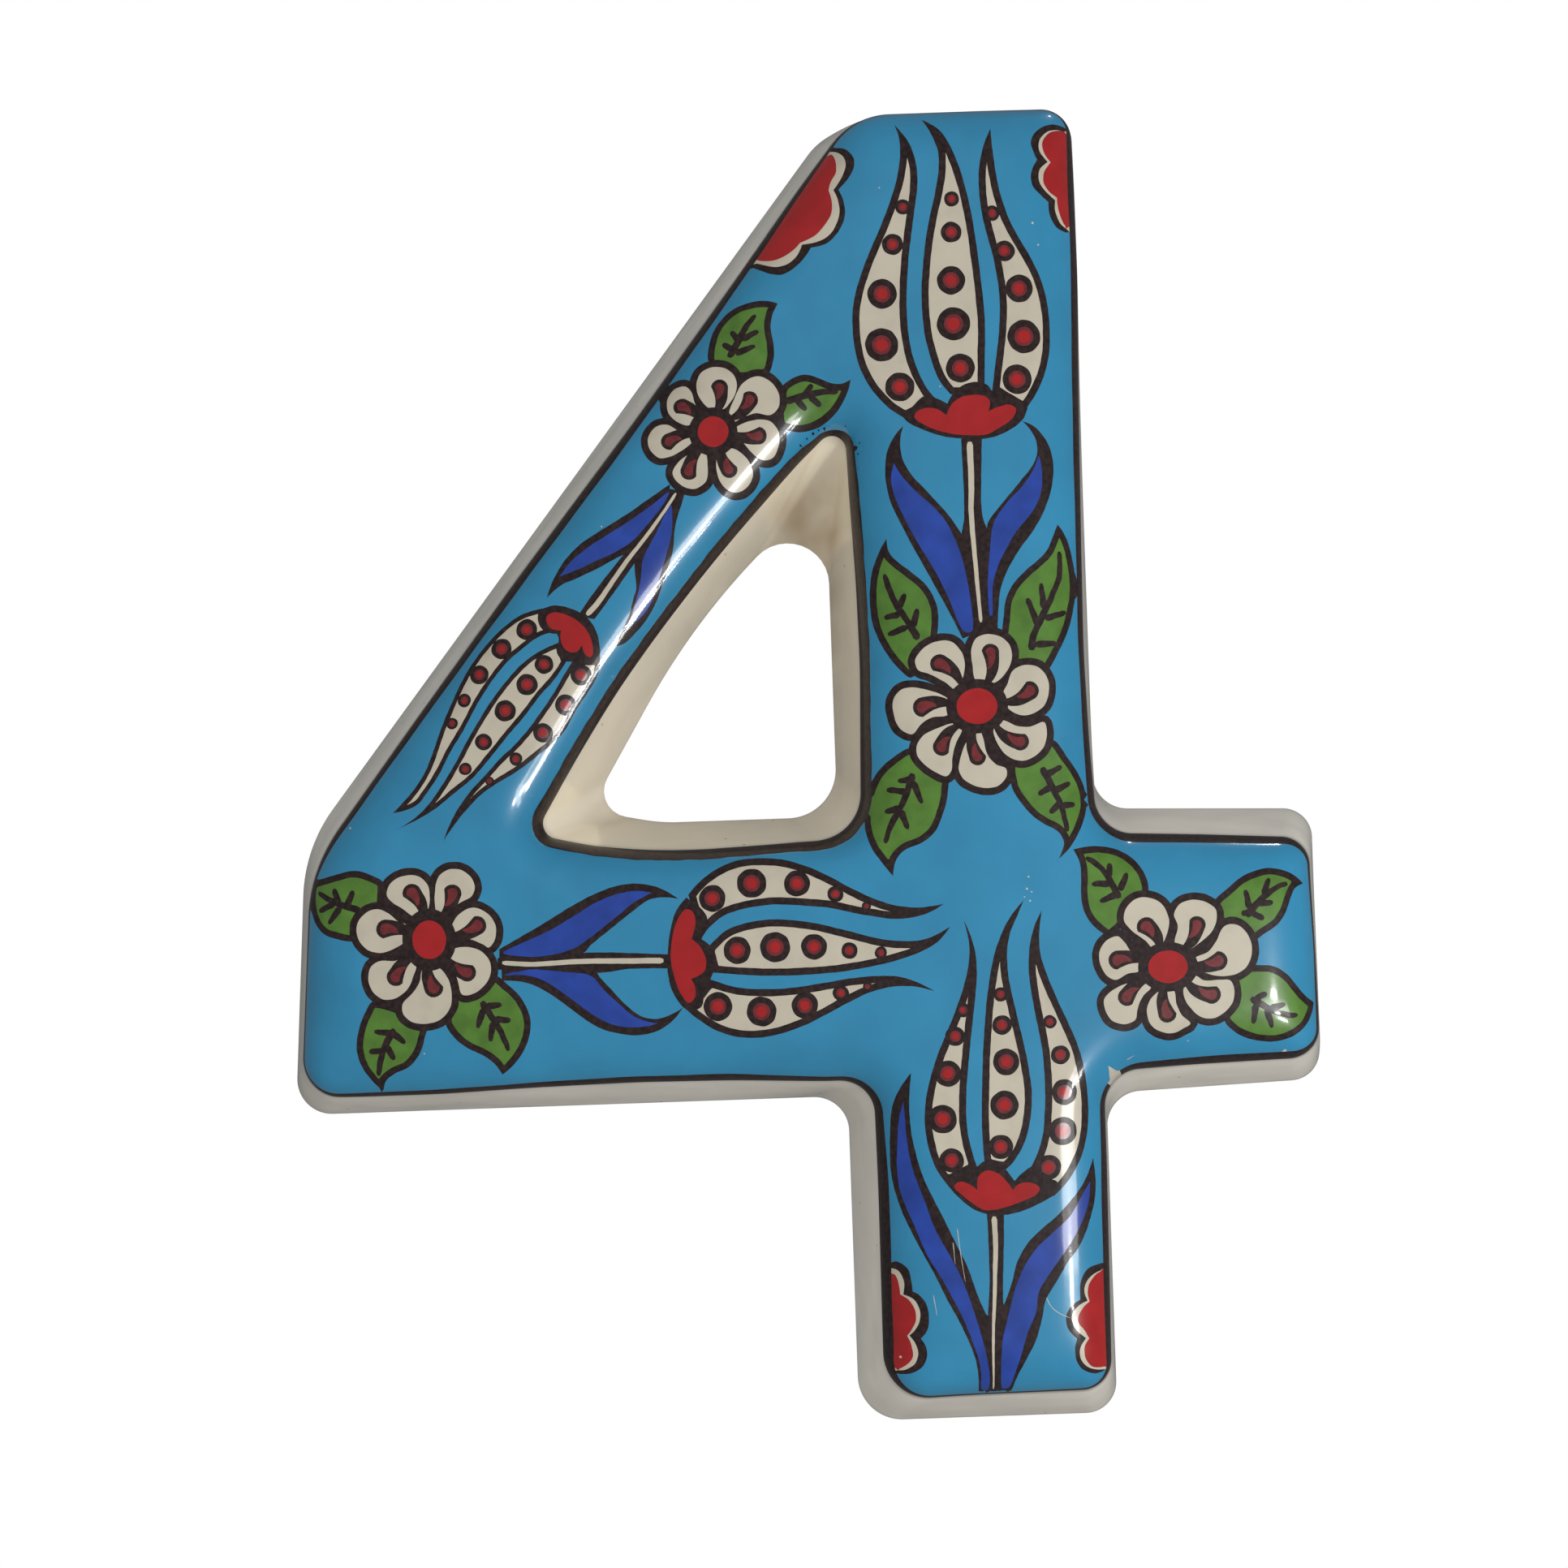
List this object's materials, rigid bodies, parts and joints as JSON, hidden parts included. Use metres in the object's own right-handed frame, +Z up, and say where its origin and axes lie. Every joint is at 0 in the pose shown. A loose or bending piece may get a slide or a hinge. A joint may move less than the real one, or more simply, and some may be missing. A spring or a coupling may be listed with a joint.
{
  "type": "house number plaque",
  "caption": "Glazed earthenware house number in the form of a figure four, with drafted walls, a domed decorated face and a triangular hole through it.",
  "frame": {"origin": "on the flat back, behind the crossing of the stem's and the crossbar's centre lines", "axes": "+X to the reader's right, +Z up the figure, +Y out of the back into the wall, so the face looks along -Y"},
  "size_m": [0.118, 0.0185, 0.1492],
  "materials": {
    "glazed_earthenware": "clear glossy glaze over coloured underglaze ornament, ivory side walls"
  },
  "bodies": {
    "root": {"number_plaque": "glazed_earthenware"}
  },
  "joints": []
}
